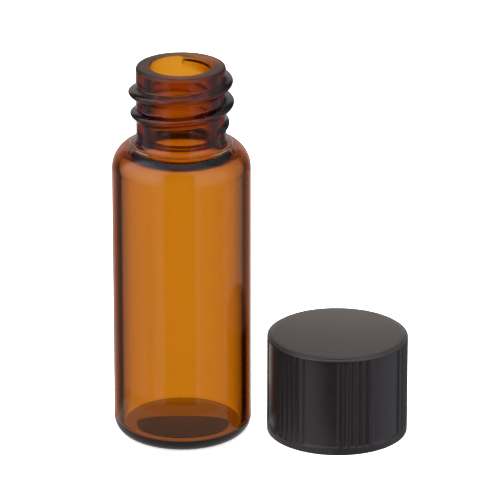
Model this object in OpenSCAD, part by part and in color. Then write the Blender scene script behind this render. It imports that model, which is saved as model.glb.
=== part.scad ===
// Screw-neck sample vial of amber tubing glass, with its ribbed screw cap and liner.
// Millimetres. The origin is the centre of the vial's base, +Z is up, and the cap
// stands mouth down beside the vial on +X, as it does when it has been taken off.

/* [Vial body] */
// Outer diameter of the body
body_d = 11.6; // [11:0.1:16]
// Height from the base to the lip
vial_h = 32.5; // [26:0.5:60]
// Wall of the body
wall_t = 0.75; // [0.5:0.05:1.2]
// Glass between the push-up and the inner floor
floor_t = 0.83; // [0.5:0.01:1.5]
// Radius of the outer heel
heel_r = 1.35; // [0.6:0.05:2]
// Radius between the inner floor and the wall
inner_heel_r = 0.55; // [0.3:0.05:2]
// Width of the flat ring that the vial stands on
foot_w = 1.7; // [0.4:0.05:2]
// Height of the push-up inside that ring
pushup_h = 0.06; // [0.04:0.01:0.6]

/* [Shoulder and neck] */
// Radius of the shoulder's outer round
shoulder_r = 2.3; // [1:0.1:2.6]
// Slope of the shoulder where it meets the neck, in degrees
shoulder_slope = 17; // [5:1:30]
// Outer diameter of the neck
neck_d = 7.48; // [6.6:0.02:7.8]
// Height of the neck above the shoulder
neck_h = 6.55; // [6:0.05:10]
// Diameter of the bore through the neck
bore_d = 5.08; // [4.2:0.02:5.6]
// Fillet between the neck and the shoulder
neck_fillet_r = 0.4; // [0.1:0.05:0.8]
// Glass of the shoulder where it meets the neck's wall
ceiling_t = 1.1; // [0.8:0.05:1.4]
// Degrees by which the shoulder is flatter inside than outside
slope_ease = 3; // [0:1:4]
// Radius inside, between the wall and the shoulder
inner_shoulder_r = 1.1; // [0.6:0.05:1.6]
// Fillet inside, between the shoulder and the bore
bore_fillet_r = 1.2; // [0.2:0.05:1.4]
// Rounding of the lip's two edges
lip_r = 0.28; // [0.1:0.02:0.4]

/* [Thread] */
// Pitch of the right-hand thread
thread_pitch = 1.83; // [1.7:0.01:2.2]
// Height of the ridge where it is full
thread_h = 0.7; // [0.4:0.01:0.8]
// Height of the ridge at its low end
thread_low_h = 0.26; // [0.1:0.02:0.4]
// Reach of the ridge's foot above its crest
thread_above = 0.44; // [0.3:0.02:0.5]
// Reach of the ridge's foot below its crest
thread_below = 0.72; // [0.5:0.02:0.8]
// Turns of the ridge on the neck
neck_turns = 2.35; // [1.5:0.05:2.5]
// Height that the ridge loses towards the lip
thread_taper = 0.11; // [0:0.01:0.2]
// Distance from the lip down to the ridge's centre where it starts
thread_drop = 0.84; // [0.8:0.02:1.4]
// Turns of the ridge inside the cap
cap_turns = 1.5; // [1:0.125:2]
// Distance from the cap's mouth up to its ridge's centre where it starts
cap_thread_lead = 1.1; // [0.9:0.05:1.5]

/* [Screw cap] */
// Wall of the skirt outside the thread
cap_wall_t = 1.32; // [0.9:0.02:2]
// Thickness of the top
cap_top_t = 1.3; // [0.8:0.05:2]
// Radius of the top edge
cap_edge_r = 0.3; // [0.1:0.02:0.34]
// Height of the plain band round the mouth
band_h = 0.68; // [0.3:0.02:1.5]
// Plain height left over the grip
grip_drop = 0.36; // [0.34:0.02:1]
// Depth of the smooth panels below the ribs
panel_depth = 0.14; // [0.06:0.01:0.3]
// Ribbed fields round the cap, each followed by a smooth panel
fields = 6; // [3:1:8]
// Ribs in each field
field_ribs = 5; // [3:1:6]
// Radius of the round groove between two ribs
groove_r = 0.17; // [0.08:0.01:0.2]

/* [Liner] */
// Thickness of the liner
liner_t = 1.2; // [0.6:0.05:2]

/* [Fits] */
// Radial clearance between the two threads
thread_clear = 0.2; // [0.1:0.02:0.35]
// Gap between the skirt and the shoulder's top when the cap is on
skirt_gap = 0.35; // [0.2:0.05:1]
// Radial clearance of the liner in the skirt
liner_clear = 0.05; // [0.02:0.01:0.15]

/* [Layout] */
// Clear distance between the vial and the cap that stands beside it
cap_gap = 1.34; // [1:0.02:10]

/* [Hidden] */

// Smoothness of the round surfaces
$fn = 96;

// Overlap that joins touching shapes of one solid
lap = 0.2;

body_r = body_d / 2;
neck_r = neck_d / 2;
bore_r = bore_d / 2;
inner_r = body_r - wall_t;
floor_z = pushup_h + floor_t;
neck_z = vial_h - neck_h;

// The shoulder's round turns until it has the slope, and a cone runs on to the neck
shoulder_turn = 90 - shoulder_slope;
round_r = min(shoulder_r, (body_r - neck_r) / (1 - cos(shoulder_turn)));
round_x = body_r - round_r;
cone_x = round_x + round_r * cos(shoulder_turn);
shoulder_z = neck_z - (cone_x - neck_r) * tan(shoulder_slope) - round_r * sin(shoulder_turn);

// Inside, a flatter cone runs from the bore's fillet to a tighter round
inner_slope = shoulder_slope - slope_ease;
ceiling_z = neck_z - ceiling_t / cos(shoulder_slope);
bore_z = ceiling_z + (neck_r - bore_r) * tan(inner_slope);
inner_round_x = inner_r - inner_shoulder_r;
inner_round_z = ceiling_z - (inner_round_x - neck_r) * tan(inner_slope)
    - inner_shoulder_r / cos(inner_slope);
inner_cone_x = inner_round_x + inner_shoulder_r * sin(inner_slope);
inner_cone_z = inner_round_z + inner_shoulder_r * cos(inner_slope);

// Under the foot, the push-up is the cap of a large sphere
pushup_r = body_r - heel_r - foot_w;
pushup_sphere_r = (pushup_r * pushup_r + pushup_h * pushup_h) / (2 * pushup_h);

// The ridge's crest climbs from its low end near the shoulder to its start near the lip
start_angle = 90;
neck_grow_turn = 400;
neck_end_run = 40;
neck_ridge_turn = 360 * neck_turns;
neck_ridge_z = vial_h - thread_drop - thread_pitch * neck_turns;

// The ridge's foot lies this far inside the wall, and its ends sink this far below the surface
ridge_root = 0.2;
ridge_sink = 0.06;
ridge_narrow = 0.3;
ridge_steps_a_turn = 30;
ridge_points = 9;

// The skirt clears the neck's ridge, and the cap's own ridge clears the neck
skirt_r = neck_r + thread_h + thread_clear;
cap_ridge_h = thread_h;
cap_ridge_turn = 360 * cap_turns;
cap_end_run = 45;

cap_r = skirt_r + cap_wall_t;
liner_z = neck_h - skirt_gap;
liner_r = skirt_r - liner_clear;
cap_inner_h = liner_z + liner_t;
cap_h = cap_inner_h + cap_top_t;
cap_x = body_r + cap_gap + cap_r;
mouth_chamfer = 0.25;

grip_h = cap_h - grip_drop - band_h;
field_angle = 180 / fields;
field_step = 2 * field_angle;
panel_middle = (field_angle + field_step) / 2;
rib_angle = field_angle / field_ribs;
// The edge of one ribbed field faces the front
grip_turn = -90;

// Ratio held between none and all
function share(value) = max(0, min(1, value));

// Outline of the ridge across its run, from one foot over the crest to the other
function ridge_shape(step) = cos(180 * step / (ridge_points - 1) - 90);

// Share of the foot's reach: the full ridge has the stated reach at the wall's surface,
// and the ridge narrows as it sinks
function ridge_spread(height) =
    let (full = 90 / acos(ridge_root / (thread_h + ridge_root)))
    full * (ridge_narrow + (1 - ridge_narrow) * share(height / thread_h));

// Height of a ridge whose ends run out: end is the angle to the nearer end
function ended(height, end, run) = (height + ridge_sink) * sqrt(share(end / run)) - ridge_sink;

// Height of the neck's ridge: it grows from its low end and loses a little towards the lip
function neck_ridge_h(angle) =
    let (
        grown = thread_low_h + (thread_h - thread_low_h) * share(angle / neck_grow_turn),
        lost = thread_taper * share(angle / neck_grow_turn - 1)
    )
    ended(grown - lost, min(angle, neck_ridge_turn - angle), neck_end_run);

// Height of the cap's ridge
function cap_ridge_rise(angle) =
    ended(cap_ridge_h, min(angle, cap_ridge_turn - angle), cap_end_run);

// Ring of points across the ridge. side is 1 for a ridge outside a wall and -1 inside one,
// and above and below are the foot's reaches from the crest
function ridge_ring(wall_r, height, side, angle, z, above, below) = [
    for (step = [0 : ridge_points - 1])
        let (
            across = 2 * step / (ridge_points - 1) - 1,
            radius = wall_r + side * ((height + ridge_root) * ridge_shape(step) - ridge_root),
            rise = across * (across > 0 ? above : below) * ridge_spread(height)
        )
        [radius * cos(angle), radius * sin(angle), z + rise]
];

// Skin of a helical ridge from its rings
module ridge_skin(rings, side) {
    count = len(rings);
    points = [for (ring = rings) for (point = ring) point];
    last = ridge_points - 1;
    sides = [
        for (ring = [0 : count - 2])
            for (step = [0 : last])
                let (
                    next = (step + 1) % ridge_points,
                    near = ring * ridge_points,
                    far = near + ridge_points
                )
                each [[near + step, near + next, far + next], [near + step, far + next, far + step]]
    ];
    near_end = [for (step = [last : -1 : 0]) step];
    far_end = [for (step = [0 : last]) (count - 1) * ridge_points + step];
    faces = concat(sides, [near_end, far_end]);
    mirrored = [for (face = faces) [for (k = [len(face) - 1 : -1 : 0]) face[k]]];
    polyhedron(points = points, faces = side > 0 ? faces : mirrored, convexity = 10);
}

// Ridge of the glass thread
module neck_ridge() {
    steps = ceil(neck_turns * ridge_steps_a_turn);
    rings = [
        for (step = [0 : steps])
            let (turned = neck_ridge_turn * step / steps)
            ridge_ring(
                neck_r, neck_ridge_h(turned), 1,
                start_angle - neck_ridge_turn + turned,
                neck_ridge_z + thread_pitch * turned / 360,
                thread_above, thread_below
            )
    ];
    ridge_skin(rings, 1);
}

// Ridge inside the cap's skirt: its long flank faces up, as the neck's faces down
module cap_ridge() {
    steps = ceil(cap_turns * ridge_steps_a_turn);
    rings = [
        for (step = [0 : steps])
            let (turned = cap_ridge_turn * step / steps)
            ridge_ring(
                skirt_r, cap_ridge_rise(turned), -1,
                turned, cap_thread_lead + thread_pitch * turned / 360,
                thread_below, thread_above
            )
    ];
    ridge_skin(rings, -1);
}

// Cove between an upright wall at x and a surface that slopes down and away from it at z
module cove(x, z, radius, slope) {
    reach = radius * tan(45 - slope / 2);
    centre = [x + radius, z + reach];
    foot = [x + reach * cos(slope), z - reach * sin(slope)];
    difference() {
        polygon([[x - lap, centre.y], centre, foot, [foot.x, foot.y - lap], [x - lap, z - lap]]);
        translate(centre)
            circle(radius);
    }
}

// Half section of the glass as if it were solid
module glass_outline() {
    translate([0, heel_r])
        square([body_r, shoulder_z - heel_r]);
    square([body_r - heel_r, heel_r + lap]);
    translate([body_r - heel_r, heel_r])
        circle(heel_r);
    intersection() {
        translate([round_x, shoulder_z])
            circle(round_r);
        translate([0, shoulder_z - lap])
            square([body_r + lap, neck_z]);
    }
    polygon([
        [0, shoulder_z - lap], [round_x, shoulder_z - lap], [round_x, shoulder_z],
        [cone_x, shoulder_z + round_r * sin(shoulder_turn)], [neck_r, neck_z], [0, neck_z]
    ]);
    cove(neck_r, neck_z, neck_fillet_r, shoulder_slope);
    translate([0, neck_z - lap])
        square([neck_r, neck_h + lap - lip_r]);
    translate([0, neck_z])
        square([neck_r - lip_r, neck_h]);
    translate([neck_r - lip_r, vial_h - lip_r])
        circle(lip_r);
}

// Half section of the space inside the glass
module hollow_outline() {
    translate([0, floor_z + inner_heel_r])
        square([inner_r, inner_round_z - floor_z - inner_heel_r]);
    translate([0, floor_z])
        square([inner_r - inner_heel_r, inner_heel_r + lap]);
    translate([inner_r - inner_heel_r, floor_z + inner_heel_r])
        circle(inner_heel_r);
    intersection() {
        translate([inner_round_x, inner_round_z])
            circle(inner_shoulder_r);
        translate([0, inner_round_z - lap])
            square([body_r, neck_z]);
    }
    polygon([
        [0, inner_round_z - lap], [inner_round_x, inner_round_z - lap],
        [inner_round_x, inner_round_z], [inner_cone_x, inner_cone_z], [bore_r, bore_z], [0, bore_z]
    ]);
    cove(bore_r, bore_z, bore_fillet_r, inner_slope);
    translate([0, bore_z - lap])
        square([bore_r, vial_h - bore_z + 2 * lap]);
    difference() {
        translate([bore_r - lap, vial_h - lip_r])
            square([lap + lip_r, lip_r + lap]);
        translate([bore_r + lip_r, vial_h - lip_r])
            circle(lip_r);
    }
}

// Half section of the push-up under the base
module pushup_outline() {
    intersection() {
        translate([0, pushup_h - pushup_sphere_r])
            circle(pushup_sphere_r);
        translate([0, -lap])
            square([body_r, pushup_h + 2 * lap]);
    }
}

// The vial is one piece of glass
module glass_vial() {
    color([0.72, 0.40, 0.10, 0.6])
        union() {
            rotate_extrude()
                difference() {
                    intersection() {
                        glass_outline();
                        square([body_r + lap, vial_h + lap]);
                    }
                    hollow_outline();
                    pushup_outline();
                }
            neck_ridge();
        }
}

// Half section of the cap before its grip is cut
module cap_outline() {
    difference() {
        union() {
            square([cap_r, cap_h - cap_edge_r]);
            square([cap_r - cap_edge_r, cap_h]);
            translate([cap_r - cap_edge_r, cap_h - cap_edge_r])
                circle(cap_edge_r);
        }
        translate([0, -lap])
            square([skirt_r, cap_inner_h + lap]);
        polygon([
            [skirt_r - lap, -lap], [skirt_r + mouth_chamfer + lap, -lap],
            [skirt_r - lap, mouth_chamfer + lap]
        ]);
    }
}

// What is cut away between the ribs and over one smooth panel, seen along the axis
module grip_field_cut() {
    for (rib = [1 : field_ribs - 1])
        rotate(rib * rib_angle)
            translate([cap_r, 0])
                circle(groove_r);
    difference() {
        polygon([
            [0, 0],
            2 * cap_r * [cos(field_angle), sin(field_angle)],
            2 * cap_r * [cos(panel_middle), sin(panel_middle)],
            2 * cap_r * [cos(field_step), sin(field_step)]
        ]);
        circle(cap_r - panel_depth);
    }
}

// Cap at its own axis, mouth down on the ground
module cap_at_axis() {
    difference() {
        rotate_extrude()
            cap_outline();
        translate([0, 0, band_h])
            linear_extrude(grip_h)
                for (field = [0 : fields - 1])
                    rotate(grip_turn + field * field_step)
                        grip_field_cut();
    }
    cap_ridge();
}

// Screw cap, one moulding
module screw_cap() {
    color([0.13, 0.12, 0.12])
        translate([cap_x, 0, 0])
            cap_at_axis();
}

// Soft disc that lies against the inside of the cap's top
module cap_liner() {
    color([0.90, 0.88, 0.82])
        translate([cap_x, 0, liner_z])
            cylinder(h = liner_t, r = liner_r);
}

glass_vial();
screw_cap();
cap_liner();
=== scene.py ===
"""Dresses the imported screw-neck sample vial: amber glass, black screw cap and soft liner.

Lengths are in metres, in the part's own frame. The vial stands on z = 0 at the origin,
and its cap stands mouth down beside it on +X.
"""

import logging
import math
from collections.abc import Iterable
from dataclasses import dataclass
from enum import Enum
from typing import Any

import bpy
import numpy as np
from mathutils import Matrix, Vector

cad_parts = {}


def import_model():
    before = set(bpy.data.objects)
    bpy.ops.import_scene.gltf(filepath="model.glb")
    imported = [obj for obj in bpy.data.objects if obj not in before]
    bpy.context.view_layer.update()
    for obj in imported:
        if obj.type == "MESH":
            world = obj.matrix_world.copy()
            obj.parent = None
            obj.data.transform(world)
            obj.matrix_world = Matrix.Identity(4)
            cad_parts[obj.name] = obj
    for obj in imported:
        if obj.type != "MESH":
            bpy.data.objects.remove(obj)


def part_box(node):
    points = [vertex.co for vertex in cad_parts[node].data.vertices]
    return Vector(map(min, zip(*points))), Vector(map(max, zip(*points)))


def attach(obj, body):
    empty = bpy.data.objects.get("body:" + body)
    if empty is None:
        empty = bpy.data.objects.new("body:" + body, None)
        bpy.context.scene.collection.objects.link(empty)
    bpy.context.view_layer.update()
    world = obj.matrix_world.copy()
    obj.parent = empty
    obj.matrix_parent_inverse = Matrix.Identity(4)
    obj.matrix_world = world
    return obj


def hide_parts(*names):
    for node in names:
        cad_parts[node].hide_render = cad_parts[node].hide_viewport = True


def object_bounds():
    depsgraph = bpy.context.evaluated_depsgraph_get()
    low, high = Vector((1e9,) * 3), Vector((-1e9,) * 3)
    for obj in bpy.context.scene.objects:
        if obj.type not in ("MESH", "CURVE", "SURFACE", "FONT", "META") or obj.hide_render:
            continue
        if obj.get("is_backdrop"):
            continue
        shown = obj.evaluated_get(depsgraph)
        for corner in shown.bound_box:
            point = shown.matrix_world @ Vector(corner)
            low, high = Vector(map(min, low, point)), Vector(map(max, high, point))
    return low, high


MM = 0.001
FULL_TURN = 2 * math.pi
# The direction of -Y, from which the cap's fields are counted
FRONT = -math.pi / 2
# The neck and the cap share it
THREAD_PITCH = 1.83 * MM

# Tints of the studio's light
WHITE = "#FFFFFF"
COOL = "#FAFAFF"
WARM = "#FFF3E5"
# Tint of the glowing sheets that paint lit paper and its shade into the gloss and the glass
PAINTED_PAPER_TINT = "#FFFAF7"

log = logging.getLogger("vial")


class Winding(Enum):
    """Which side of a drawn section the material is on."""

    RIGHT = 1
    LEFT = -1


def linear(hex_colour: str) -> tuple[float, float, float, float]:
    """Turns an sRGB hex colour into linear RGBA.

    Args:
        hex_colour: six hex digits after a hash sign.

    Returns:
        Red, green, blue and an alpha of one.
    """
    parts = [int(hex_colour[k : k + 2], 16) / 255 for k in (1, 3, 5)]
    red, green, blue = (
        c / 12.92 if c <= 0.04045 else ((c + 0.055) / 1.055) ** 2.4 for c in parts
    )
    return red, green, blue, 1.0


def glowing(tint: str, glow: float) -> tuple[float, float, float, float]:
    """Returns a tint's linear colour, as bright as the glow."""
    red, green, blue, _ = linear(tint)
    return glow * red, glow * green, glow * blue, 1.0


def add_node(
    tree: bpy.types.NodeTree,
    kind: str,
    inputs: dict[str | int, Any] | None = None,
    **settings: Any,
) -> bpy.types.Node:
    """Adds a shader node with its settings, values and links.

    Args:
        tree: the node tree to add to.
        kind: the node's type name, such as ShaderNodeTexNoise.
        inputs: input name or index, with a value or the output socket to link.
        settings: properties of the node itself.

    Returns:
        The new node.
    """
    node = tree.nodes.new(kind)
    for name, value in settings.items():
        setattr(node, name, value)
    for key, value in (inputs or {}).items():
        if isinstance(value, bpy.types.NodeSocket):
            tree.links.new(value, node.inputs[key])
        else:
            node.inputs[key].default_value = value
    return node


def new_material(name: str) -> tuple[bpy.types.Material, bpy.types.NodeTree]:
    """Makes an empty node material.

    Args:
        name: the material's name.

    Returns:
        The material and its cleared node tree.
    """
    material = bpy.data.materials.new(name)
    material.use_nodes = True
    material.node_tree.nodes.clear()
    return material, material.node_tree


def add_object(name: str, data: bpy.types.ID) -> bpy.types.Object:
    """Puts a mesh, a light or a camera into the scene.

    Args:
        name: the object's name.
        data: what the object holds.

    Returns:
        The new object.
    """
    thing = bpy.data.objects.new(name, data)
    bpy.context.scene.collection.objects.link(thing)
    return thing


def shares(count: int) -> list[float]:
    """Returns even steps up to one, without zero."""
    return [k / count for k in range(1, count + 1)]


def hump(across: np.ndarray) -> np.ndarray:
    """Returns a smooth hump: one at zero, and nothing from one outwards."""
    return 0.5 + 0.5 * np.cos(math.pi * np.clip(across, -1, 1))


@dataclass(frozen=True)
class AmberTubingGlass:
    """Amber borosilicate tubing glass, drawn and then formed in a flame.

    It is clear right through, and a thicker stretch looks deeper brown. The drawing
    leaves faint lines along the tube. The body keeps a wet-looking gloss, the neck is a
    little hazy and the lip is matte.
    """

    left_after_1_mm: str = "#CA9232"
    ior: float = 1.49
    # How hazy the neck and the lip are, and the heights from which they are
    neck_from: float = 25.9 * MM
    neck_fade: float = 0.5 * MM
    neck_roughness: float = 0.12
    lip_from: float = 32.1 * MM
    lip_fade: float = 0.2 * MM
    lip_roughness: float = 0.45
    draw_line_spacing: float = 0.9 * MM
    draw_line_depth: float = 0.0006 * MM

    def build(self) -> bpy.types.Material:
        """Makes the material.

        Returns:
            The finished material.
        """
        material, tree = new_material("amber_tubing_glass_flame_polished")
        losses = [-math.log(c) / MM for c in linear(self.left_after_1_mm)[:3]]
        # A little denser than the greatest loss, so that the tint keeps some blue
        density = 1.05 * max(losses)
        tint = [1 - loss / density for loss in losses]
        where = add_node(tree, "ShaderNodeTexCoord").outputs["Object"]
        # Stretched ten to one along the tube, as the draw lines are
        lines = add_node(
            tree, "ShaderNodeMapping", {"Vector": where, "Scale": (1.0, 1.0, 0.1)}
        ).outputs["Vector"]
        noise = add_node(
            tree,
            "ShaderNodeTexNoise",
            {"Vector": lines, "Scale": 1 / self.draw_line_spacing, "Detail": 2.0},
        )
        bump = add_node(
            tree,
            "ShaderNodeBump",
            {"Height": noise.outputs["Fac"], "Distance": self.draw_line_depth, "Strength": 1.0},
        )
        height = add_node(tree, "ShaderNodeSeparateXYZ", {"Vector": where}).outputs["Z"]
        haze = add_node(
            tree,
            "ShaderNodeMapRange",
            {
                "Value": height,
                "From Min": self.neck_from,
                "From Max": self.neck_from + self.neck_fade,
                "To Max": self.neck_roughness,
            },
        )
        lip_haze = add_node(
            tree,
            "ShaderNodeMapRange",
            {
                "Value": height,
                "From Min": self.lip_from,
                "From Max": self.lip_from + self.lip_fade,
                "To Min": haze.outputs["Result"],
                "To Max": self.lip_roughness,
            },
        )
        surface = add_node(
            tree,
            "ShaderNodeBsdfPrincipled",
            {
                "Base Color": (1.0, 1.0, 1.0, 1.0),
                "Roughness": lip_haze.outputs["Result"],
                "IOR": self.ior,
                "Transmission Weight": 1.0,
                "Normal": bump.outputs["Normal"],
            },
        )
        volume = add_node(
            tree, "ShaderNodeVolumeAbsorption", {"Color": (*tint, 1.0), "Density": density}
        )
        add_node(
            tree,
            "ShaderNodeOutputMaterial",
            {"Surface": surface.outputs["BSDF"], "Volume": volume.outputs["Volume"]},
        )
        return material


@dataclass(frozen=True)
class BlackPhenolic:
    """Black phenolic resin, compression moulded in a polished steel tool.

    The skin is smooth and takes a soft gloss. Fine flow mottling breaks it up, and the
    filler shows as a slight warm cast in the black.
    """

    black: str = "#1C191B"
    warm_black: str = "#231F21"
    ior: float = 1.60
    glossy_roughness: float = 0.30
    dull_roughness: float = 0.39
    mottle_width: float = 0.8 * MM
    grain_width: float = 0.09 * MM
    grain_depth: float = 0.0012 * MM

    def build(self) -> bpy.types.Material:
        """Makes the material.

        Returns:
            The finished material.
        """
        material, tree = new_material("black_phenolic_compression_moulded")
        where = add_node(tree, "ShaderNodeTexCoord").outputs["Object"]
        mottle = add_node(
            tree,
            "ShaderNodeTexNoise",
            {"Vector": where, "Scale": 1 / self.mottle_width, "Detail": 3.0},
        ).outputs["Fac"]
        colour = add_node(
            tree,
            "ShaderNodeMix",
            {"Factor": mottle, 6: linear(self.black), 7: linear(self.warm_black)},
            data_type="RGBA",
        )
        gloss = add_node(
            tree,
            "ShaderNodeMapRange",
            {"Value": mottle, "To Min": self.glossy_roughness, "To Max": self.dull_roughness},
        )
        grain = add_node(
            tree,
            "ShaderNodeTexNoise",
            {"Vector": where, "Scale": 1 / self.grain_width, "Detail": 2.0},
        )
        bump = add_node(
            tree,
            "ShaderNodeBump",
            {"Height": grain.outputs["Fac"], "Distance": self.grain_depth, "Strength": 1.0},
        )
        surface = add_node(
            tree,
            "ShaderNodeBsdfPrincipled",
            {
                "Base Color": colour.outputs[2],
                "Roughness": gloss.outputs["Result"],
                "IOR": self.ior,
                "Normal": bump.outputs["Normal"],
            },
        )
        add_node(tree, "ShaderNodeOutputMaterial", {"Surface": surface.outputs["BSDF"]})
        return material


@dataclass(frozen=True)
class LinerRubber:
    """Off-white elastomer sheet, die cut to a disc.

    It is matte and slightly dusty, with the faint cloth print of the calendered sheet.
    """

    pale: str = "#DDD8CB"
    shade: str = "#CFC8B8"
    roughness: float = 0.72
    cloud_width: float = 2.0 * MM
    print_width: float = 0.25 * MM
    print_depth: float = 0.004 * MM

    def build(self) -> bpy.types.Material:
        """Makes the material.

        Returns:
            The finished material.
        """
        material, tree = new_material("off_white_elastomer_calendered")
        where = add_node(tree, "ShaderNodeTexCoord").outputs["Object"]
        cloud = add_node(
            tree,
            "ShaderNodeTexNoise",
            {"Vector": where, "Scale": 1 / self.cloud_width, "Detail": 4.0},
        ).outputs["Fac"]
        colour = add_node(
            tree,
            "ShaderNodeMix",
            {"Factor": cloud, 6: linear(self.pale), 7: linear(self.shade)},
            data_type="RGBA",
        )
        grain = add_node(
            tree,
            "ShaderNodeTexVoronoi",
            {"Vector": where, "Scale": 1 / self.print_width},
        )
        bump = add_node(
            tree,
            "ShaderNodeBump",
            {"Height": grain.outputs["Distance"], "Distance": self.print_depth, "Strength": 0.6},
        )
        surface = add_node(
            tree,
            "ShaderNodeBsdfPrincipled",
            {
                "Base Color": colour.outputs[2],
                "Roughness": self.roughness,
                "Normal": bump.outputs["Normal"],
            },
        )
        add_node(tree, "ShaderNodeOutputMaterial", {"Surface": surface.outputs["BSDF"]})
        return material


@dataclass(frozen=True)
class StudioPaper:
    """White translucent paper lit from below, matte, that the pieces stand on."""

    white: str = "#F6F6F5"
    roughness: float = 0.9
    glow: float = 0.75

    def build(self) -> bpy.types.Material:
        """Makes the material.

        Returns:
            The finished material.
        """
        material, tree = new_material("white_seamless_paper")
        surface = add_node(
            tree,
            "ShaderNodeBsdfPrincipled",
            {
                "Base Color": linear(self.white),
                "Roughness": self.roughness,
                "Emission Color": (1.0, 1.0, 1.0, 1.0),
                "Emission Strength": self.glow,
            },
        )
        add_node(tree, "ShaderNodeOutputMaterial", {"Surface": surface.outputs["BSDF"]})
        return material


@dataclass
class Outline:
    """Half section of a turned piece, drawn with straight and round stretches."""

    spots: list[tuple[float, float]]

    def through(self, spots: Iterable[tuple[float, float]]) -> "Outline":
        """Draws through spots, one after another."""
        self.spots.extend(spots)
        return self

    def line(self, radius: float, height: float, step: float) -> "Outline":
        """Draws a straight stretch to a spot.

        Args:
            radius: radius at the end.
            height: height at the end.
            step: longest distance between two points.

        Returns:
            The outline itself.
        """
        x, z = self.spots[-1]
        count = max(1, math.ceil(math.dist((x, z), (radius, height)) / step))
        return self.through(
            (x + (radius - x) * share, z + (height - z) * share) for share in shares(count)
        )

    def arc(
        self,
        centre: tuple[float, float],
        radius: float,
        first: float,
        last: float,
        count: int,
        rise: float | None = None,
    ) -> "Outline":
        """Draws a round stretch.

        Args:
            centre: radius and height of the arc's centre.
            radius: the arc's own radius.
            first: angle of its start in degrees, 0 pointing outwards and 90 up.
            last: angle of its end in degrees.
            count: number of points.
            rise: the arc's upright radius, where it isn't the same as the level one.

        Returns:
            The outline itself.
        """
        upright = radius if rise is None else rise
        turns = [math.radians(first + (last - first) * share) for share in shares(count)]
        return self.through(
            (centre[0] + radius * math.cos(turn), centre[1] + upright * math.sin(turn))
            for turn in turns
        )

    def arrays(self) -> tuple[np.ndarray, np.ndarray]:
        """Returns the radii and the heights."""
        table = np.array(self.spots)
        return table[:, 0], table[:, 1]


@dataclass
class TurnedPiece:
    """A piece round an upright axis, as wide and high as the solid that it stands for."""

    low: Vector
    high: Vector

    @property
    def radius(self) -> float:
        """Outer radius."""
        return (self.high.x - self.low.x) / 2

    @property
    def height(self) -> float:
        """Height over the foot."""
        return self.high.z - self.low.z

    def turned(
        self,
        name: str,
        radii: np.ndarray,
        heights: np.ndarray,
        angles: np.ndarray,
        winding: Winding,
    ) -> bpy.types.Object:
        """Builds the piece's closed mesh from a grid of radii.

        Args:
            name: the object's name.
            radii: one row for each height and one column for each angle.
            heights: height of each row over the foot.
            angles: direction of each column in radians.
            winding: which way the section was drawn.

        Returns:
            The object, linked to the scene and shaded smooth.
        """
        rows, columns = radii.shape
        axis_x, axis_y = (self.low.x + self.high.x) / 2, (self.low.y + self.high.y) / 2
        x = axis_x + radii[1:-1] * np.cos(angles)
        y = axis_y + radii[1:-1] * np.sin(angles)
        z = heights + self.low.z
        rings = np.stack([x, y, np.repeat(z[1:-1, None], columns, axis=1)], axis=-1)
        rings = rings.reshape(-1, 3)
        points = np.vstack([rings, (axis_x, axis_y, z[0]), (axis_x, axis_y, z[-1])])
        first_pole, last_pole = len(rings), len(rings) + 1
        pairs = [(column, (column + 1) % columns) for column in range(columns)]
        last_ring = (rows - 3) * columns
        faces = []
        for near in range(0, last_ring, columns):
            far = near + columns
            faces += [(near + k, near + after, far + after, far + k) for k, after in pairs]
        for k, after in pairs:
            faces.append((first_pole, after, k))
            faces.append((last_pole, last_ring + k, last_ring + after))
        if winding is Winding.LEFT:
            faces = [face[::-1] for face in faces]
        mesh = bpy.data.meshes.new(name)
        mesh.from_pydata(points.tolist(), [], faces)
        mesh.polygons.foreach_set("use_smooth", [True] * len(faces))
        mesh.validate()
        return add_object(name, mesh)


@dataclass(frozen=True)
class HelicalRidge:
    """Right-hand thread ridge, given as the height that it adds to a round wall.

    The crest runs out at both ends. It has a share of its full height at the low end,
    swells to the full height over an angle, and then sinks again by the taper.
    """

    height: float
    foot_above: float
    foot_below: float
    turns: float
    low_end: float
    low_angle: float
    start_run: float
    low_run: float
    low_share: float = 1.0
    swell_turn: float = 1.0
    taper: float = 0.0
    pitch: float = THREAD_PITCH
    narrow_foot: float = 0.6
    foot_round: float = 0.07 * MM

    def crest(self, turned: np.ndarray) -> np.ndarray:
        """Height of the crest along the ridge.

        Args:
            turned: angle in radians from the low end.

        Returns:
            The crest's height, zero beyond either end.
        """
        total = FULL_TURN * self.turns
        swell = self.low_share + (1 - self.low_share) * np.clip(turned / self.swell_turn, 0, 1)
        lost = self.taper * np.clip(turned / self.swell_turn - 1, 0, 1)
        ends = np.minimum(turned / self.low_run, (total - turned) / self.start_run).clip(0, 1)
        return (self.height * swell - lost) * np.sqrt(ends)

    def sharp_rise(self, angles: np.ndarray, heights: np.ndarray) -> np.ndarray:
        """Height of the ridge over the wall, with sharp feet.

        Args:
            angles: column directions in radians.
            heights: row heights.

        Returns:
            A grid with a row for each height.
        """
        grid = np.zeros((len(heights), len(angles)))
        first = np.mod(angles - self.low_angle, FULL_TURN)
        for turn in range(math.ceil(self.turns) + 1):
            turned = first + FULL_TURN * turn
            crest = self.crest(turned)
            above = heights[:, None] - (self.low_end + self.pitch * turned / FULL_TURN)
            foot = np.where(above > 0, self.foot_above, self.foot_below)
            foot = foot * (self.narrow_foot + (1 - self.narrow_foot) * crest / self.height)
            grid += crest * np.cos(np.clip(above / foot, -1, 1) * math.pi / 2)
        return grid

    def rise(self, angles: np.ndarray, heights: np.ndarray) -> np.ndarray:
        """Height of the ridge over the wall at every angle and height.

        Args:
            angles: column directions in radians.
            heights: row heights.

        Returns:
            A grid with a row for each height.
        """
        # The average over nearby heights rounds the ridge's feet
        shifts = self.foot_round * np.array([-1.0, -0.5, 0.0, 0.5, 1.0])
        return sum(self.sharp_rise(angles, heights + shift) for shift in shifts) / len(shifts)


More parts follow.
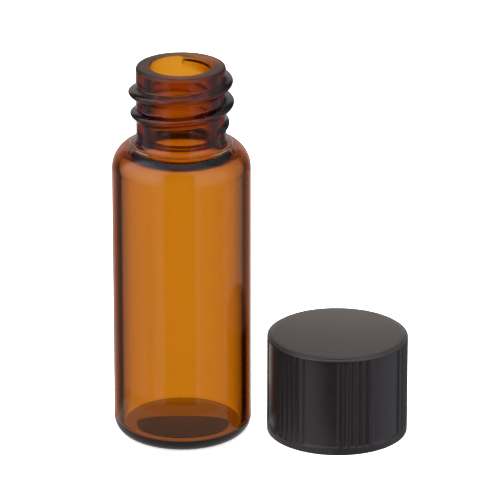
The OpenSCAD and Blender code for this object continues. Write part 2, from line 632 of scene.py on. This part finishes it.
@dataclass
class GlassVial(TurnedPiece):
    """The vial, one piece of glass: body, shoulder, threaded neck, lip and bottom."""

    wall: float = 0.75 * MM
    floor: float = 0.83 * MM
    heel: float = 1.35 * MM
    inner_heel: float = 0.55 * MM
    foot_width: float = 1.7 * MM
    pushup: float = 0.06 * MM
    shoulder: float = 2.3 * MM
    shoulder_slope: float = 17.0
    inner_shoulder: float = 1.2 * MM
    inner_slope: float = 13.8
    ceiling: float = 1.09 * MM
    neck_radius: float = 3.74 * MM
    neck_height: float = 6.55 * MM
    neck_fillet: float = 0.45 * MM
    # The low round step that the neck stands on
    seat_radius: float = 4.24 * MM
    seat_edge: float = 0.06 * MM
    seat_foot: float = 0.04 * MM
    seat_drop: float = 0.12 * MM
    bore_radius: float = 2.54 * MM
    bore_fillet: float = 1.2 * MM
    # The slight bead at the foot of the bore
    bead: float = 0.32 * MM
    bead_z: float = 26.1 * MM
    bead_above: float = 0.45 * MM
    bead_below: float = 0.2 * MM
    lip: float = 0.28 * MM
    lip_inner: float = 0.2 * MM
    thread_turns: float = 2.35
    thread_drop: float = 0.84 * MM
    columns: int = 216
    fine: float = 0.045 * MM
    coarse: float = 0.6 * MM

    def thread(self) -> HelicalRidge:
        """Sizes the ridge round the neck.

        Returns:
            The ridge.
        """
        return HelicalRidge(
            height=0.70 * MM,
            foot_above=0.44 * MM,
            foot_below=0.72 * MM,
            turns=self.thread_turns,
            low_end=self.height - self.thread_drop - THREAD_PITCH * self.thread_turns,
            low_angle=math.pi / 2 - FULL_TURN * self.thread_turns,
            start_run=math.radians(40),
            low_run=math.radians(16),
            low_share=0.37,
            swell_turn=math.radians(400),
            taper=0.11 * MM,
        )

    def outline(self) -> Outline:
        """Draws the section, from the bottom's centre over the lip to the inner floor.

        Returns:
            The section.
        """
        r, h, slope = self.radius, self.height, math.radians(self.shoulder_slope)
        neck_z = h - self.neck_height
        round_x = r - self.shoulder
        cone_x = round_x + self.shoulder * math.sin(slope)
        round_z = (
            neck_z - (cone_x - self.neck_radius) * math.tan(slope) - self.shoulder * math.cos(slope)
        )
        foot_x = r - self.heel
        pushup_x = foot_x - self.foot_width
        lip_x = self.bore_radius + self.lip_inner
        out = Outline([(0.0, self.pushup)])
        out.through((pushup_x * k, self.pushup * (1 - k**2) ** 2) for k in shares(18))
        out.line(foot_x, 0.0, step=0.3 * MM)
        out.arc((foot_x, self.heel), self.heel, -90, 0, count=28)
        out.line(r, round_z, self.coarse)
        out.arc((round_x, round_z), self.shoulder, 0, 90 - self.shoulder_slope, count=36)
        self.seat(out, neck_z)
        out.line(self.neck_radius, h - self.lip, self.fine)
        out.arc((self.neck_radius - self.lip, h - self.lip), self.lip, 0, 90, count=10)
        out.line(lip_x, h, step=0.2 * MM)
        out.arc((lip_x, h - self.lip_inner), self.lip_inner, 90, 180, count=10)
        self.inside(out, neck_z - self.ceiling / math.cos(slope))
        return out

    def seat(self, out: Outline, neck_z: float) -> None:
        """Draws the low round step that the neck stands on, and the fillet over it.

        Args:
            out: the outline to draw on, which has come up the shoulder.
            neck_z: height where the shoulder's slope would meet the neck.
        """
        r, edge, fillet = self.seat_radius, self.seat_edge, self.neck_fillet
        foot_x = r + self.seat_foot
        fall = (foot_x - self.neck_radius) * math.tan(math.radians(self.shoulder_slope))
        top_z = neck_z - self.seat_drop
        out.line(foot_x, neck_z - fall, self.coarse)
        out.arc((r - edge, top_z - edge), edge, 20, 90, count=8)
        out.line(self.neck_radius + fillet, top_z, step=0.1 * MM)
        out.arc((self.neck_radius + fillet, top_z + fillet), fillet, 270, 180, count=14)

    def inside(self, out: Outline, ceiling_z: float) -> None:
        """Draws the section's inner side, from the bore down to the inner floor.

        Args:
            out: the outline to draw on.
            ceiling_z: height of the inner shoulder straight under the neck's wall.
        """
        inner, corner, fillet = self.radius - self.wall, self.inner_shoulder, self.bore_fillet
        slope = math.radians(self.inner_slope)
        bore_z = ceiling_z + (self.neck_radius - self.bore_radius) * math.tan(slope)
        fillet_z = bore_z + fillet * math.tan(math.pi / 4 - slope / 2)
        corner_x = inner - corner
        corner_z = (
            ceiling_z - (corner_x - self.neck_radius) * math.tan(slope) - corner / math.cos(slope)
        )
        round_x, round_z = corner_x + corner * math.sin(slope), corner_z + corner * math.cos(slope)
        floor_z = self.pushup + self.floor
        heel_x, heel_z = inner - self.inner_heel, floor_z + self.inner_heel
        out.line(self.bore_radius, self.bead_z + self.bead_above, self.coarse)
        out.line(self.bore_radius, fillet_z, self.fine)
        centre = (self.bore_radius + fillet, fillet_z)
        out.arc(centre, fillet, 180, 270 - self.inner_slope, count=18)
        out.line(round_x, round_z, step=0.15 * MM)
        out.arc((corner_x, corner_z), corner, 90 - self.inner_slope, 0, count=30)
        out.line(inner, heel_z, self.coarse)
        out.arc((heel_x, heel_z), self.inner_heel, 0, -90, count=20)
        out.line(0.0, floor_z, self.coarse)

    def build(self) -> bpy.types.Object:
        """Builds and dresses the glass.

        Returns:
            The vial.
        """
        radii, heights = self.outline().arrays()
        angles = np.arange(self.columns) * FULL_TURN / self.columns
        on_neck = np.isclose(radii, self.neck_radius, atol=1e-9)
        inside = np.arange(len(radii)) > np.argmax(heights)
        off = heights - self.bead_z
        bead = self.bead * hump(off / np.where(off > 0, self.bead_above, self.bead_below))
        radii = np.where(inside, radii - bead, radii)
        grid = np.repeat(radii[:, None], self.columns, axis=1)
        grid[on_neck] += self.thread().rise(angles, heights)[on_neck]
        piece = self.turned("vial_glass", grid, heights, angles, Winding.RIGHT)
        piece.data.materials.append(AmberTubingGlass().build())
        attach(piece, "root")
        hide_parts("glass_vial")
        return piece


@dataclass
class ScrewCap(TurnedPiece):
    """The cap, one moulding: ribbed grip, plain band, top and threaded skirt.

    Fields of ribs and plain panels take turns round the grip.
    """

    ceiling_z: float
    skirt_radius: float = 4.64 * MM
    # The top: a nearly flat crown, a small step down from it and a round edge
    crown_drop: float = 0.01 * MM
    crown_round: float = 0.012 * MM
    step_height: float = 0.08 * MM
    step_width: float = 0.016 * MM
    edge: float = 0.22 * MM
    edge_height: float = 0.14 * MM
    # The grip, between the band and the edge
    band: float = 0.68 * MM
    grip_drop: float = 0.27 * MM
    ledge: float = 0.09 * MM
    fields: int = 6
    field_ribs: int = 5
    groove_depth: float = 0.15 * MM
    panel_depth: float = 0.14 * MM
    # Half a groove's width as a share of a rib, and a panel's edge as a share of the panel
    groove_half_share: float = 0.38
    panel_ease: float = 0.03
    # The mesh's columns, as shares of a rib up to its middle and shares of a panel
    rib_columns: tuple[float, ...] = (0.0, 0.07, 0.14, 0.2, 0.26, 0.32, 0.38, 0.5)
    panel_edge: tuple[float, ...] = (0.0, 0.012, 0.024, 0.036, 0.05)
    panel_middle: tuple[float, ...] = (0.1, 0.2, 0.3, 0.4, 0.5, 0.6, 0.7, 0.8, 0.9)
    mouth_chamfer: float = 0.25 * MM
    foot_round: float = 0.1 * MM

    @property
    def field_angle(self) -> float:
        """Angle of one field of ribs, and of one panel."""
        return math.pi / self.fields

    def columns(self) -> np.ndarray:
        """Spaces the mesh's columns: close over the ribs, wider over the panels.

        Returns:
            The columns' directions in radians.
        """
        half_rib, edge = np.array(self.rib_columns), np.array(self.panel_edge)
        rib = np.concatenate([half_rib, 1 - half_rib[-2:0:-1]])
        ribs = np.concatenate([rib + k for k in range(self.field_ribs)]) / self.field_ribs
        panel = np.concatenate([edge, self.panel_middle, 1 - edge[:0:-1]])
        one = np.concatenate([ribs, 1 + panel])
        around = np.concatenate([one + 2 * k for k in range(self.fields)])
        return FRONT + around * self.field_angle

    def grip_depth(self, angles: np.ndarray) -> np.ndarray:
        """How far the grip lies below the band at each direction.

        Args:
            angles: directions in radians.

        Returns:
            The depth of the ribs' grooves and of the panels.
        """
        field_angle = self.field_angle
        rib_angle = field_angle / self.field_ribs
        along = np.mod(angles - FRONT, 2 * field_angle)
        rib_share = np.mod(along / rib_angle + 0.5, 1.0) - 0.5
        # Round-bottomed grooves, whose two walls take the light apart
        groove = self.groove_depth * hump(rib_share / self.groove_half_share)
        ease = self.panel_ease * field_angle
        into_panel = np.clip((along - field_angle) / ease, 0, 1)
        out_of_panel = np.clip((2 * field_angle - along) / ease, 0, 1)
        panel = self.panel_depth * np.minimum(into_panel, out_of_panel)
        grooved = (along > 0.5 * rib_angle) & (along < field_angle - 0.5 * rib_angle)
        return np.where(grooved, groove, panel)

    def thread(self) -> HelicalRidge:
        """Sizes the ridge inside the skirt.

        Returns:
            The ridge.
        """
        return HelicalRidge(
            height=0.70 * MM,
            foot_above=0.72 * MM,
            foot_below=0.44 * MM,
            turns=1.5,
            low_end=1.1 * MM,
            low_angle=0.0,
            start_run=math.radians(45),
            low_run=math.radians(45),
        )

    def outline(self) -> Outline:
        """Draws the section, from the top's centre down the grip and up the skirt.

        Returns:
            The section.
        """
        r, h, ledge = self.radius, self.height, self.ledge
        rim_x, step_x = r - self.edge, r - self.edge + self.step_width
        crown_z, step_z = h - self.crown_drop, h - self.step_height
        grip_top, grip_low = h - self.grip_drop, self.band
        ceiling = self.ceiling_z - self.low.z
        centre = (step_x, step_z - self.edge_height)
        out = Outline([(0.0, h)])
        out.through((rim_x * k, h - self.crown_drop * k**2) for k in shares(14))
        out.line(rim_x + self.crown_round, crown_z - self.crown_round, step=0.01 * MM)
        out.line(step_x, step_z, step=0.02 * MM)
        out.arc(centre, r - step_x, 90, 0, count=8, rise=self.edge_height)
        out.line(r, grip_top, step=0.02 * MM)
        out.line(r, grip_top - ledge, step=ledge / 8)
        out.line(r, grip_low + ledge, step=0.5 * MM)
        out.line(r, grip_low, step=ledge / 8)
        out.line(r, self.foot_round, step=0.1 * MM)
        out.arc((r - self.foot_round, self.foot_round), self.foot_round, 0, -90, count=6)
        out.line(self.skirt_radius + self.mouth_chamfer, 0.0, step=0.3 * MM)
        out.line(self.skirt_radius, self.mouth_chamfer, step=0.06 * MM)
        out.line(self.skirt_radius, ceiling, step=0.08 * MM)
        out.line(0.0, ceiling, step=0.8 * MM)
        return out

    def build(self) -> bpy.types.Object:
        """Builds and dresses the cap.

        Returns:
            The cap.
        """
        radii, heights = self.outline().arrays()
        angles = self.columns()
        grid = np.repeat(radii[:, None], len(angles), axis=1)
        outside = np.isclose(radii, self.radius, atol=1e-9)
        above = np.clip((self.height - self.grip_drop - heights) / self.ledge, 0, 1)
        below = np.clip((heights - self.band) / self.ledge, 0, 1)
        window = np.sin(np.minimum(above, below) * math.pi / 2)
        grid[outside] -= (window[:, None] * self.grip_depth(angles))[outside]
        inside = np.isclose(radii, self.skirt_radius, atol=1e-9)
        grid[inside] -= self.thread().rise(angles, heights)[inside]
        piece = self.turned("cap_moulding", grid, heights, angles, Winding.LEFT)
        piece.data.materials.append(BlackPhenolic().build())
        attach(piece, "root")
        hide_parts("screw_cap")
        return piece


@dataclass
class CapLiner(TurnedPiece):
    """The liner, a soft disc against the inside of the cap's top."""

    edge: float = 0.12 * MM
    seal_radius: float = 3.1 * MM
    seal_half_width: float = 0.6 * MM
    seal_depth: float = 0.04 * MM
    columns: int = 96

    def build(self) -> bpy.types.Object:
        """Builds and dresses the disc, with the faint ring that a lip leaves in it.

        Returns:
            The liner.
        """
        r, h, edge = self.radius, self.height, self.edge
        out = Outline([(0.0, h)]).line(r - edge, h, step=0.6 * MM)
        out.arc((r - edge, h - edge), edge, 90, 0, count=6)
        out.line(r, edge, step=0.3 * MM)
        out.arc((r - edge, edge), edge, 0, -90, count=6)
        out.line(0.0, 0.0, step=0.08 * MM)
        radii, heights = out.arrays()
        ring = self.seal_depth * hump((radii - self.seal_radius) / self.seal_half_width)
        heights = np.where(heights < 1e-9, heights + ring, heights)
        angles = np.arange(self.columns) * FULL_TURN / self.columns
        grid = np.repeat(radii[:, None], self.columns, axis=1)
        piece = self.turned("liner_disc", grid, heights, angles, Winding.LEFT)
        piece.data.materials.append(LinerRubber().build())
        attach(piece, "root")
        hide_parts("cap_liner")
        return piece


def aim(
    thing: bpy.types.Object, target: Vector, distance: float, azimuth: float, elevation: float
) -> None:
    """Puts a light or a camera at a distance from a point, facing it.

    Args:
        thing: the light or the camera.
        target: the point that it faces.
        distance: how far from the point it is.
        azimuth: degrees round the point, 0 in front and 90 on +X.
        elevation: degrees over the horizon.
    """
    turn, lift = math.radians(azimuth), math.radians(elevation)
    away = Vector(
        (math.sin(turn) * math.cos(lift), -math.cos(turn) * math.cos(lift), math.sin(lift))
    )
    thing.location = target + distance * away
    thing.rotation_euler = (target - thing.location).to_track_quat("-Z", "Y").to_euler()


@dataclass(frozen=True)
class Softbox:
    """One square light, which neither the gloss nor the glass shows."""

    name: str
    azimuth: float
    elevation: float
    distance: float
    width: float
    power: float

    def build(self, target: Vector) -> bpy.types.Object:
        """Hangs the light.

        Args:
            target: the point that it is aimed at.

        Returns:
            The light object.
        """
        light = bpy.data.lights.new(self.name, "AREA")
        light.shape = "SQUARE"
        light.size = self.width
        light.energy = self.power
        lamp = add_object(self.name, light)
        aim(lamp, target, self.distance, self.azimuth, self.elevation)
        lamp.visible_glossy = False
        lamp.visible_transmission = False
        return lamp


class Ray(Enum):
    """Kinds of ray, by the name of the object's switch that lets them meet it."""

    CAMERA = "visible_camera"
    SHADOW = "visible_shadow"
    DIFFUSE = "visible_diffuse"
    MIRRORED = "visible_glossy"
    THROUGH_GLASS = "visible_transmission"


def lay_sheet(
    name: str,
    corners: list[tuple[float, float, float]],
    material: bpy.types.Material,
    met_by: tuple[Ray, ...],
) -> bpy.types.Object:
    """Makes a flat sheet of the stage.

    Args:
        name: the object's name.
        corners: its corners, counterclockwise round its face.
        material: its material.
        met_by: the only kinds of ray that meet it.

    Returns:
        The sheet.
    """
    mesh = bpy.data.meshes.new(name)
    mesh.from_pydata(corners, [], [tuple(range(len(corners)))])
    mesh.materials.append(material)
    sheet = add_object(name, mesh)
    for ray in Ray:
        setattr(sheet, ray.value, ray in met_by)
    sheet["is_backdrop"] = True
    return sheet


@dataclass(frozen=True)
class GlowingSheet:
    """Small sheet near the pieces, with one glowing face and a clear back.

    Only one kind of ray meets it. So it isn't seen and lights nothing, but paints light or
    shade into the gloss or into what shows through the glass.
    """

    name: str
    glow: float
    tint: str
    met_by: Ray

    def corners(self) -> list[tuple[float, float, float]]:
        """Returns the corners over the paper, counterclockwise round the glowing face."""
        raise NotImplementedError

    def build(self, height: float) -> bpy.types.Object:
        """Makes and dresses the sheet.

        Args:
            height: the paper's height.

        Returns:
            The sheet.
        """
        material, tree = new_material(self.name)
        material.cycles.emission_sampling = "NONE"
        face = add_node(
            tree, "ShaderNodeEmission", {"Color": linear(self.tint), "Strength": self.glow}
        ).outputs[0]
        clear = add_node(tree, "ShaderNodeBsdfTransparent").outputs[0]
        back = add_node(tree, "ShaderNodeNewGeometry").outputs["Backfacing"]
        either = add_node(tree, "ShaderNodeMixShader", {0: back, 1: face, 2: clear}).outputs[0]
        add_node(tree, "ShaderNodeOutputMaterial", {"Surface": either})
        corners = [(x, y, z + height) for x, y, z in self.corners()]
        return lay_sheet(self.name, corners, material, (self.met_by,))


@dataclass(frozen=True)
class FloorDisc(GlowingSheet):
    """Round sheet just under the paper's face, which glows upwards.

    It paints into the glass foot the shade that it stands in (painted shade), or into a low
    wall's gloss the lit paper that it mirrors (painted reflection).
    """

    half_width: float
    before: float
    behind: float
    drop: float
    middle_y: float = 0.0
    corner_count: int = 96

    def corners(self) -> list[tuple[float, float, float]]:
        """Draws two half ellipses, one before and one behind the middle.

        Returns:
            The corners.
        """
        turns = [FULL_TURN * k / self.corner_count for k in range(self.corner_count)]
        depths = [self.behind if math.sin(turn) > 0 else self.before for turn in turns]
        return [
            (
                self.half_width * math.cos(turn),
                self.middle_y + depth * math.sin(turn),
                -self.drop,
            )
            for turn, depth in zip(turns, depths)
        ]


@dataclass(frozen=True)
class Card(GlowingSheet):
    """Upright card along Y that glows towards +X, or level card that glows downwards."""

    low: tuple[float, float, float]
    high: tuple[float, float, float]

    def corners(self) -> list[tuple[float, float, float]]:
        """Draws the card, level where its low and its high corner are as high.

        Returns:
            The corners.
        """
        (x0, y0, z0), (x1, y1, z1) = self.low, self.high
        if z0 == z1:
            return [(x0, y0, z0), (x0, y1, z0), (x1, y1, z0), (x1, y0, z0)]
        return [(x0, y0, z0), (x0, y1, z0), (x0, y1, z1), (x0, y0, z1)]


@dataclass(frozen=True)
class Panel:
    """One stretch of the room, painted over what lies behind it, with soft edges.

    Azimuths are 0 in front and 90 on +X. Angles are in degrees.
    """

    name: str
    azimuth: float
    half_width: float
    elevation: float
    half_height: float
    glow: float
    soft: float = 6.0
    soft_up: float = 6.0
    tint: str = WHITE

    def paint(
        self,
        tree: bpy.types.NodeTree,
        turn: bpy.types.NodeSocket,
        lift: bpy.types.NodeSocket,
        behind: bpy.types.NodeSocket | tuple[float, float, float, float],
    ) -> bpy.types.NodeSocket:
        """Paints the panel.

        Args:
            tree: the world's node tree.
            turn: the direction's azimuth in degrees.
            lift: the direction's elevation in degrees.
            behind: the colour behind the panel.

        Returns:
            The colour with the panel over it.
        """
        across = self.share(tree, turn, self.azimuth, self.half_width, self.soft)
        up = self.share(tree, lift, self.elevation, self.half_height, self.soft_up)
        both = add_node(tree, "ShaderNodeMath", {0: across, 1: up}, operation="MULTIPLY")
        return add_node(
            tree,
            "ShaderNodeMix",
            {"Factor": both.outputs[0], 6: behind, 7: glowing(self.tint, self.glow)},
            data_type="RGBA",
            label=self.name,
        ).outputs[2]

    @staticmethod
    def share(
        tree: bpy.types.NodeTree,
        angle: bpy.types.NodeSocket,
        middle: float,
        half: float,
        soft: float,
    ) -> bpy.types.NodeSocket:
        """Adds a share that is one near an angle and eases to zero away from it.

        Args:
            tree: the world's node tree.
            angle: the angle to compare.
            middle: the angle where the share is one.
            half: how far from it the share has fallen to a half.
            soft: how much further it takes to reach zero.

        Returns:
            The share's socket.
        """
        off = add_node(tree, "ShaderNodeMath", {0: angle, 1: middle}, operation="SUBTRACT")
        near = add_node(
            tree, "ShaderNodeMath", {0: off.outputs[0], 1: 180.0, 2: -180.0}, operation="WRAP"
        )
        far = add_node(tree, "ShaderNodeMath", {0: near.outputs[0]}, operation="ABSOLUTE")
        return add_node(
            tree,
            "ShaderNodeMapRange",
            {"Value": far.outputs[0], "From Min": half + soft, "From Max": half - soft},
            interpolation_type="SMOOTHSTEP",
        ).outputs["Result"]


@dataclass(frozen=True)
class Room:
    """What the pieces mirror, and what shows through the glass.

    The gloss meets a white tent with a bright screen on either side, dark stands behind
    them and a dark gap round the camera. Light that has passed through the glass meets a
    backdrop that is bright straight behind the pieces and dark to either side of it,
    which draws the glass's edges.
    """

    # Each panel: azimuth, half width, elevation, half height, glow, soft edges, tint
    tent: float = 0.46
    tent_panels: tuple[Panel, ...] = (
        Panel("table", 0, 181, -75, 33, 0.52, 1, 8, COOL),
        Panel("left_screen", -75.2, 42, 36, 34, 1.75, 14, 22, COOL),
        Panel("right_screen", 48.8, 34, 38, 36, 1.15, 16, 24, COOL),
        Panel("back_sheet", 180, 36, 34, 24, 0.7, 10, 10, WARM),
        Panel("ceiling", 0, 181, 90, 24, 0.75, 1, 10),
        Panel("left_stand", -132.2, 17, 0, 44, 0.15, 5, 10, COOL),
        Panel("right_stand", 137.8, 15, 0, 44, 0.15, 5, 10, COOL),
        Panel("near_left_stand", -53.2, 6, -21, 8, 0.27, 4, 6, COOL),
        Panel("near_right_stand", 52.8, 22, -21, 8, 0.21, 6, 6, COOL),
        Panel("camera_gap", -2.4, 26, 2, 42, 0.015, 4, 8),
    )
    outside: float = 0.9
    outside_panels: tuple[Panel, ...] = (
        Panel("dark_sheet", 180.8, 72, 10, 52, 0.22, 4, 8),
        Panel("left_wing", -129.2, 20, 10, 52, 0.11, 4, 8),
        Panel("backdrop", 182, 22.8, -13, 34, 1.37, 15, 8),
        Panel("table_shade", 180, 70, -70, 22, 0.45, 6, 6),
    )
    pale: float = 1.1

    def build(self) -> None:
        """Makes the world."""
        world = bpy.data.worlds.new("studio_room")
        world.use_nodes = True
        tree = world.node_tree
        tree.nodes.clear()
        where = add_node(tree, "ShaderNodeTexCoord").outputs["Generated"]
        x, y, z = add_node(tree, "ShaderNodeSeparateXYZ", {"Vector": where}).outputs
        front = add_node(tree, "ShaderNodeMath", {0: y, 1: -1.0}, operation="MULTIPLY")
        round_z = add_node(tree, "ShaderNodeMath", {0: x, 1: front.outputs[0]}, operation="ARCTAN2")
        upwards = add_node(tree, "ShaderNodeMath", {0: z}, operation="ARCSINE")
        turn, lift = (
            add_node(tree, "ShaderNodeMath", {0: angle.outputs[0]}, operation="DEGREES").outputs[0]
            for angle in (round_z, upwards)
        )
        mirrored = self.paint(tree, turn, lift, glowing(COOL, self.tent), self.tent_panels)
        through = self.paint(tree, turn, lift, glowing(WHITE, self.outside), self.outside_panels)
        rays = add_node(tree, "ShaderNodeLightPath").outputs
        inside = add_node(
            tree,
            "ShaderNodeMix",
            {"Factor": rays["Is Transmission Ray"], 6: mirrored, 7: through},
            data_type="RGBA",
        ).outputs[2]
        shown = add_node(
            tree,
            "ShaderNodeMix",
            {"Factor": rays["Is Camera Ray"], 6: inside, 7: glowing(WHITE, self.pale)},
            data_type="RGBA",
        ).outputs[2]
        background = add_node(tree, "ShaderNodeBackground", {"Color": shown, "Strength": 1.0})
        add_node(tree, "ShaderNodeOutputWorld", {"Surface": background.outputs["Background"]})
        bpy.context.scene.world = world

    @staticmethod
    def paint(
        tree: bpy.types.NodeTree,
        turn: bpy.types.NodeSocket,
        lift: bpy.types.NodeSocket,
        plain: tuple[float, float, float, float],
        panels: tuple[Panel, ...],
    ) -> bpy.types.NodeSocket:
        """Paints panels over a plain colour, the last one in front.

        Args:
            tree: the world's node tree.
            turn: the direction's azimuth in degrees.
            lift: the direction's elevation in degrees.
            plain: the colour where no panel is.
            panels: the panels, from back to front.

        Returns:
            The colour socket.
        """
        colour = plain
        for panel in panels:
            colour = panel.paint(tree, turn, lift, colour)
        return colour


@dataclass(frozen=True)
class Studio:
    """White paper, a soft light, small glowing sheets, the room and the camera."""

    floor_size: float = 3.0
    camera_azimuth: float = 0.14
    camera_elevation: float = 21.11
    camera_distance: float = 0.3823
    lens: float = 329.2
    # From the middle of the part to the middle of the view
    aim_shift: tuple[float, float, float] = (-0.92 * MM, -0.64 * MM, 0.185 * MM)
    bounces: int = 24
    gloss_bounces: int = 12
    softbox: Softbox = Softbox(
        "top_softbox", azimuth=0, elevation=85, distance=0.8, width=1.2, power=28
    )
    sheets: tuple[GlowingSheet, ...] = (
        # Painted shade under the foot: a dark disc and a dim disc, seen only through the glass,
        # stand in for the shade that the vial stands in
        FloorDisc(
            "painted_foot_shade",
            glow=0.0,
            tint=PAINTED_PAPER_TINT,
            met_by=Ray.THROUGH_GLASS,
            half_width=3.95 * MM,
            before=4.0 * MM,
            behind=1.3 * MM,
            drop=0.02 * MM,
            middle_y=0.25 * MM,
        ),
        # Painted half shade round the foot, a dim glowing disc seen only through the glass
        FloorDisc(
            "painted_foot_half_shade",
            glow=0.6,
            tint=PAINTED_PAPER_TINT,
            met_by=Ray.THROUGH_GLASS,
            half_width=5.8 * MM,
            before=5.8 * MM,
            behind=5.8 * MM,
            drop=0.04 * MM,
        ),
        # Painted reflections of the lit paper: glowing discs seen only in the gloss of low walls,
        # before and behind the pieces
        FloorDisc(
            "painted_paper_reflection",
            glow=0.5,
            tint=PAINTED_PAPER_TINT,
            met_by=Ray.MIRRORED,
            half_width=14.2 * MM,
            before=14.2 * MM,
            behind=2.0 * MM,
            drop=0.02 * MM,
        ),
        FloorDisc(
            "painted_paper_reflection_edge",
            glow=0.25,
            tint=PAINTED_PAPER_TINT,
            met_by=Ray.MIRRORED,
            half_width=16.4 * MM,
            before=16.4 * MM,
            behind=3.5 * MM,
            drop=0.04 * MM,
        ),
        # Painted reflection of brighter paper behind the pieces, seen only in the gloss
        FloorDisc(
            "painted_bright_paper_reflection",
            glow=1.0,
            tint=PAINTED_PAPER_TINT,
            met_by=Ray.MIRRORED,
            half_width=5.5 * MM,
            before=10.5 * MM,
            behind=13.0 * MM,
            drop=0.01 * MM,
            middle_y=17.0 * MM,
        ),
        # Painted shade in the gloss: a dim brown card, seen only in reflections, darkens what the
        # cap mirrors on its side towards the vial
        Card(
            "painted_brown_reflection",
            glow=0.12,
            tint="#E8C8B8",
            met_by=Ray.MIRRORED,
            low=(6.47 * MM, -6.0 * MM, 0.0),
            high=(6.47 * MM, -1.1 * MM, 8.4 * MM),
        ),
        # Painted reflections on the cap's top: glowing cards seen only in its gloss, bright towards
        # the back
        Card(
            "painted_bright_top_reflection",
            glow=1.0,
            tint=WARM,
            met_by=Ray.MIRRORED,
            low=(-1.0 * MM, 14.5 * MM, 14.0 * MM),
            high=(26.0 * MM, 30.0 * MM, 14.0 * MM),
        ),
        # Painted grey reflection, seen only in the gloss, that darkens the front of the cap's top
        Card(
            "painted_grey_top_reflection",
            glow=0.28,
            tint=WARM,
            met_by=Ray.MIRRORED,
            low=(-1.0 * MM, -2.0 * MM, 14.0 * MM),
            high=(26.0 * MM, 14.5 * MM, 14.0 * MM),
        ),
    )

    def build(self, low: Vector, high: Vector) -> None:
        """Sets the floor, the light, the sheets, the world and the camera.

        Args:
            low: lowest corner of the part.
            high: highest corner of the part.
        """
        middle = (low + high) / 2
        half = self.floor_size / 2
        spread = [(-half, -half), (half, -half), (half, half), (-half, half)]
        corners = [(x, y, low.z) for x, y in spread]
        lay_sheet("studio_floor", corners, StudioPaper().build(), (Ray.CAMERA, Ray.SHADOW))
        for sheet in self.sheets:
            sheet.build(low.z)
        self.softbox.build(middle)
        Room().build()
        self.place_camera(middle + Vector(self.aim_shift))
        scene = bpy.context.scene
        scene.view_settings.view_transform = "Standard"
        scene.cycles.max_bounces = self.bounces
        scene.cycles.transmission_bounces = self.bounces
        scene.cycles.glossy_bounces = self.gloss_bounces

    def place_camera(self, target: Vector) -> None:
        """Sets the camera up.

        Args:
            target: the point in the middle of the view.
        """
        data = bpy.data.cameras.new("camera")
        data.lens = self.lens
        data.clip_start = 0.01
        data.clip_end = 20.0
        camera = add_object("camera", data)
        aim(camera, target, self.camera_distance, self.camera_azimuth, self.camera_elevation)
        bpy.context.scene.camera = camera


def main() -> None:
    """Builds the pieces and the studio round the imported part."""
    logging.basicConfig(level=logging.INFO, format="%(name)s: %(message)s")
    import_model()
    packed = [list(corner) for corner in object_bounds()]
    low, high = (Vector(corner) for corner in packed)
    liner_low, liner_high = (Vector(corner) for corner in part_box("cap_liner"))
    pieces = [
        GlassVial(*(Vector(corner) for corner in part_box("glass_vial"))).build(),
        ScrewCap(*(Vector(corner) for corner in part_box("screw_cap")), liner_high.z).build(),
        CapLiner(liner_low, liner_high).build(),
    ]
    for piece in pieces:
        log.info("%s: %d faces", piece.name, len(piece.data.polygons))
    Studio().build(low, high)


if __name__ == "__main__":
    main()
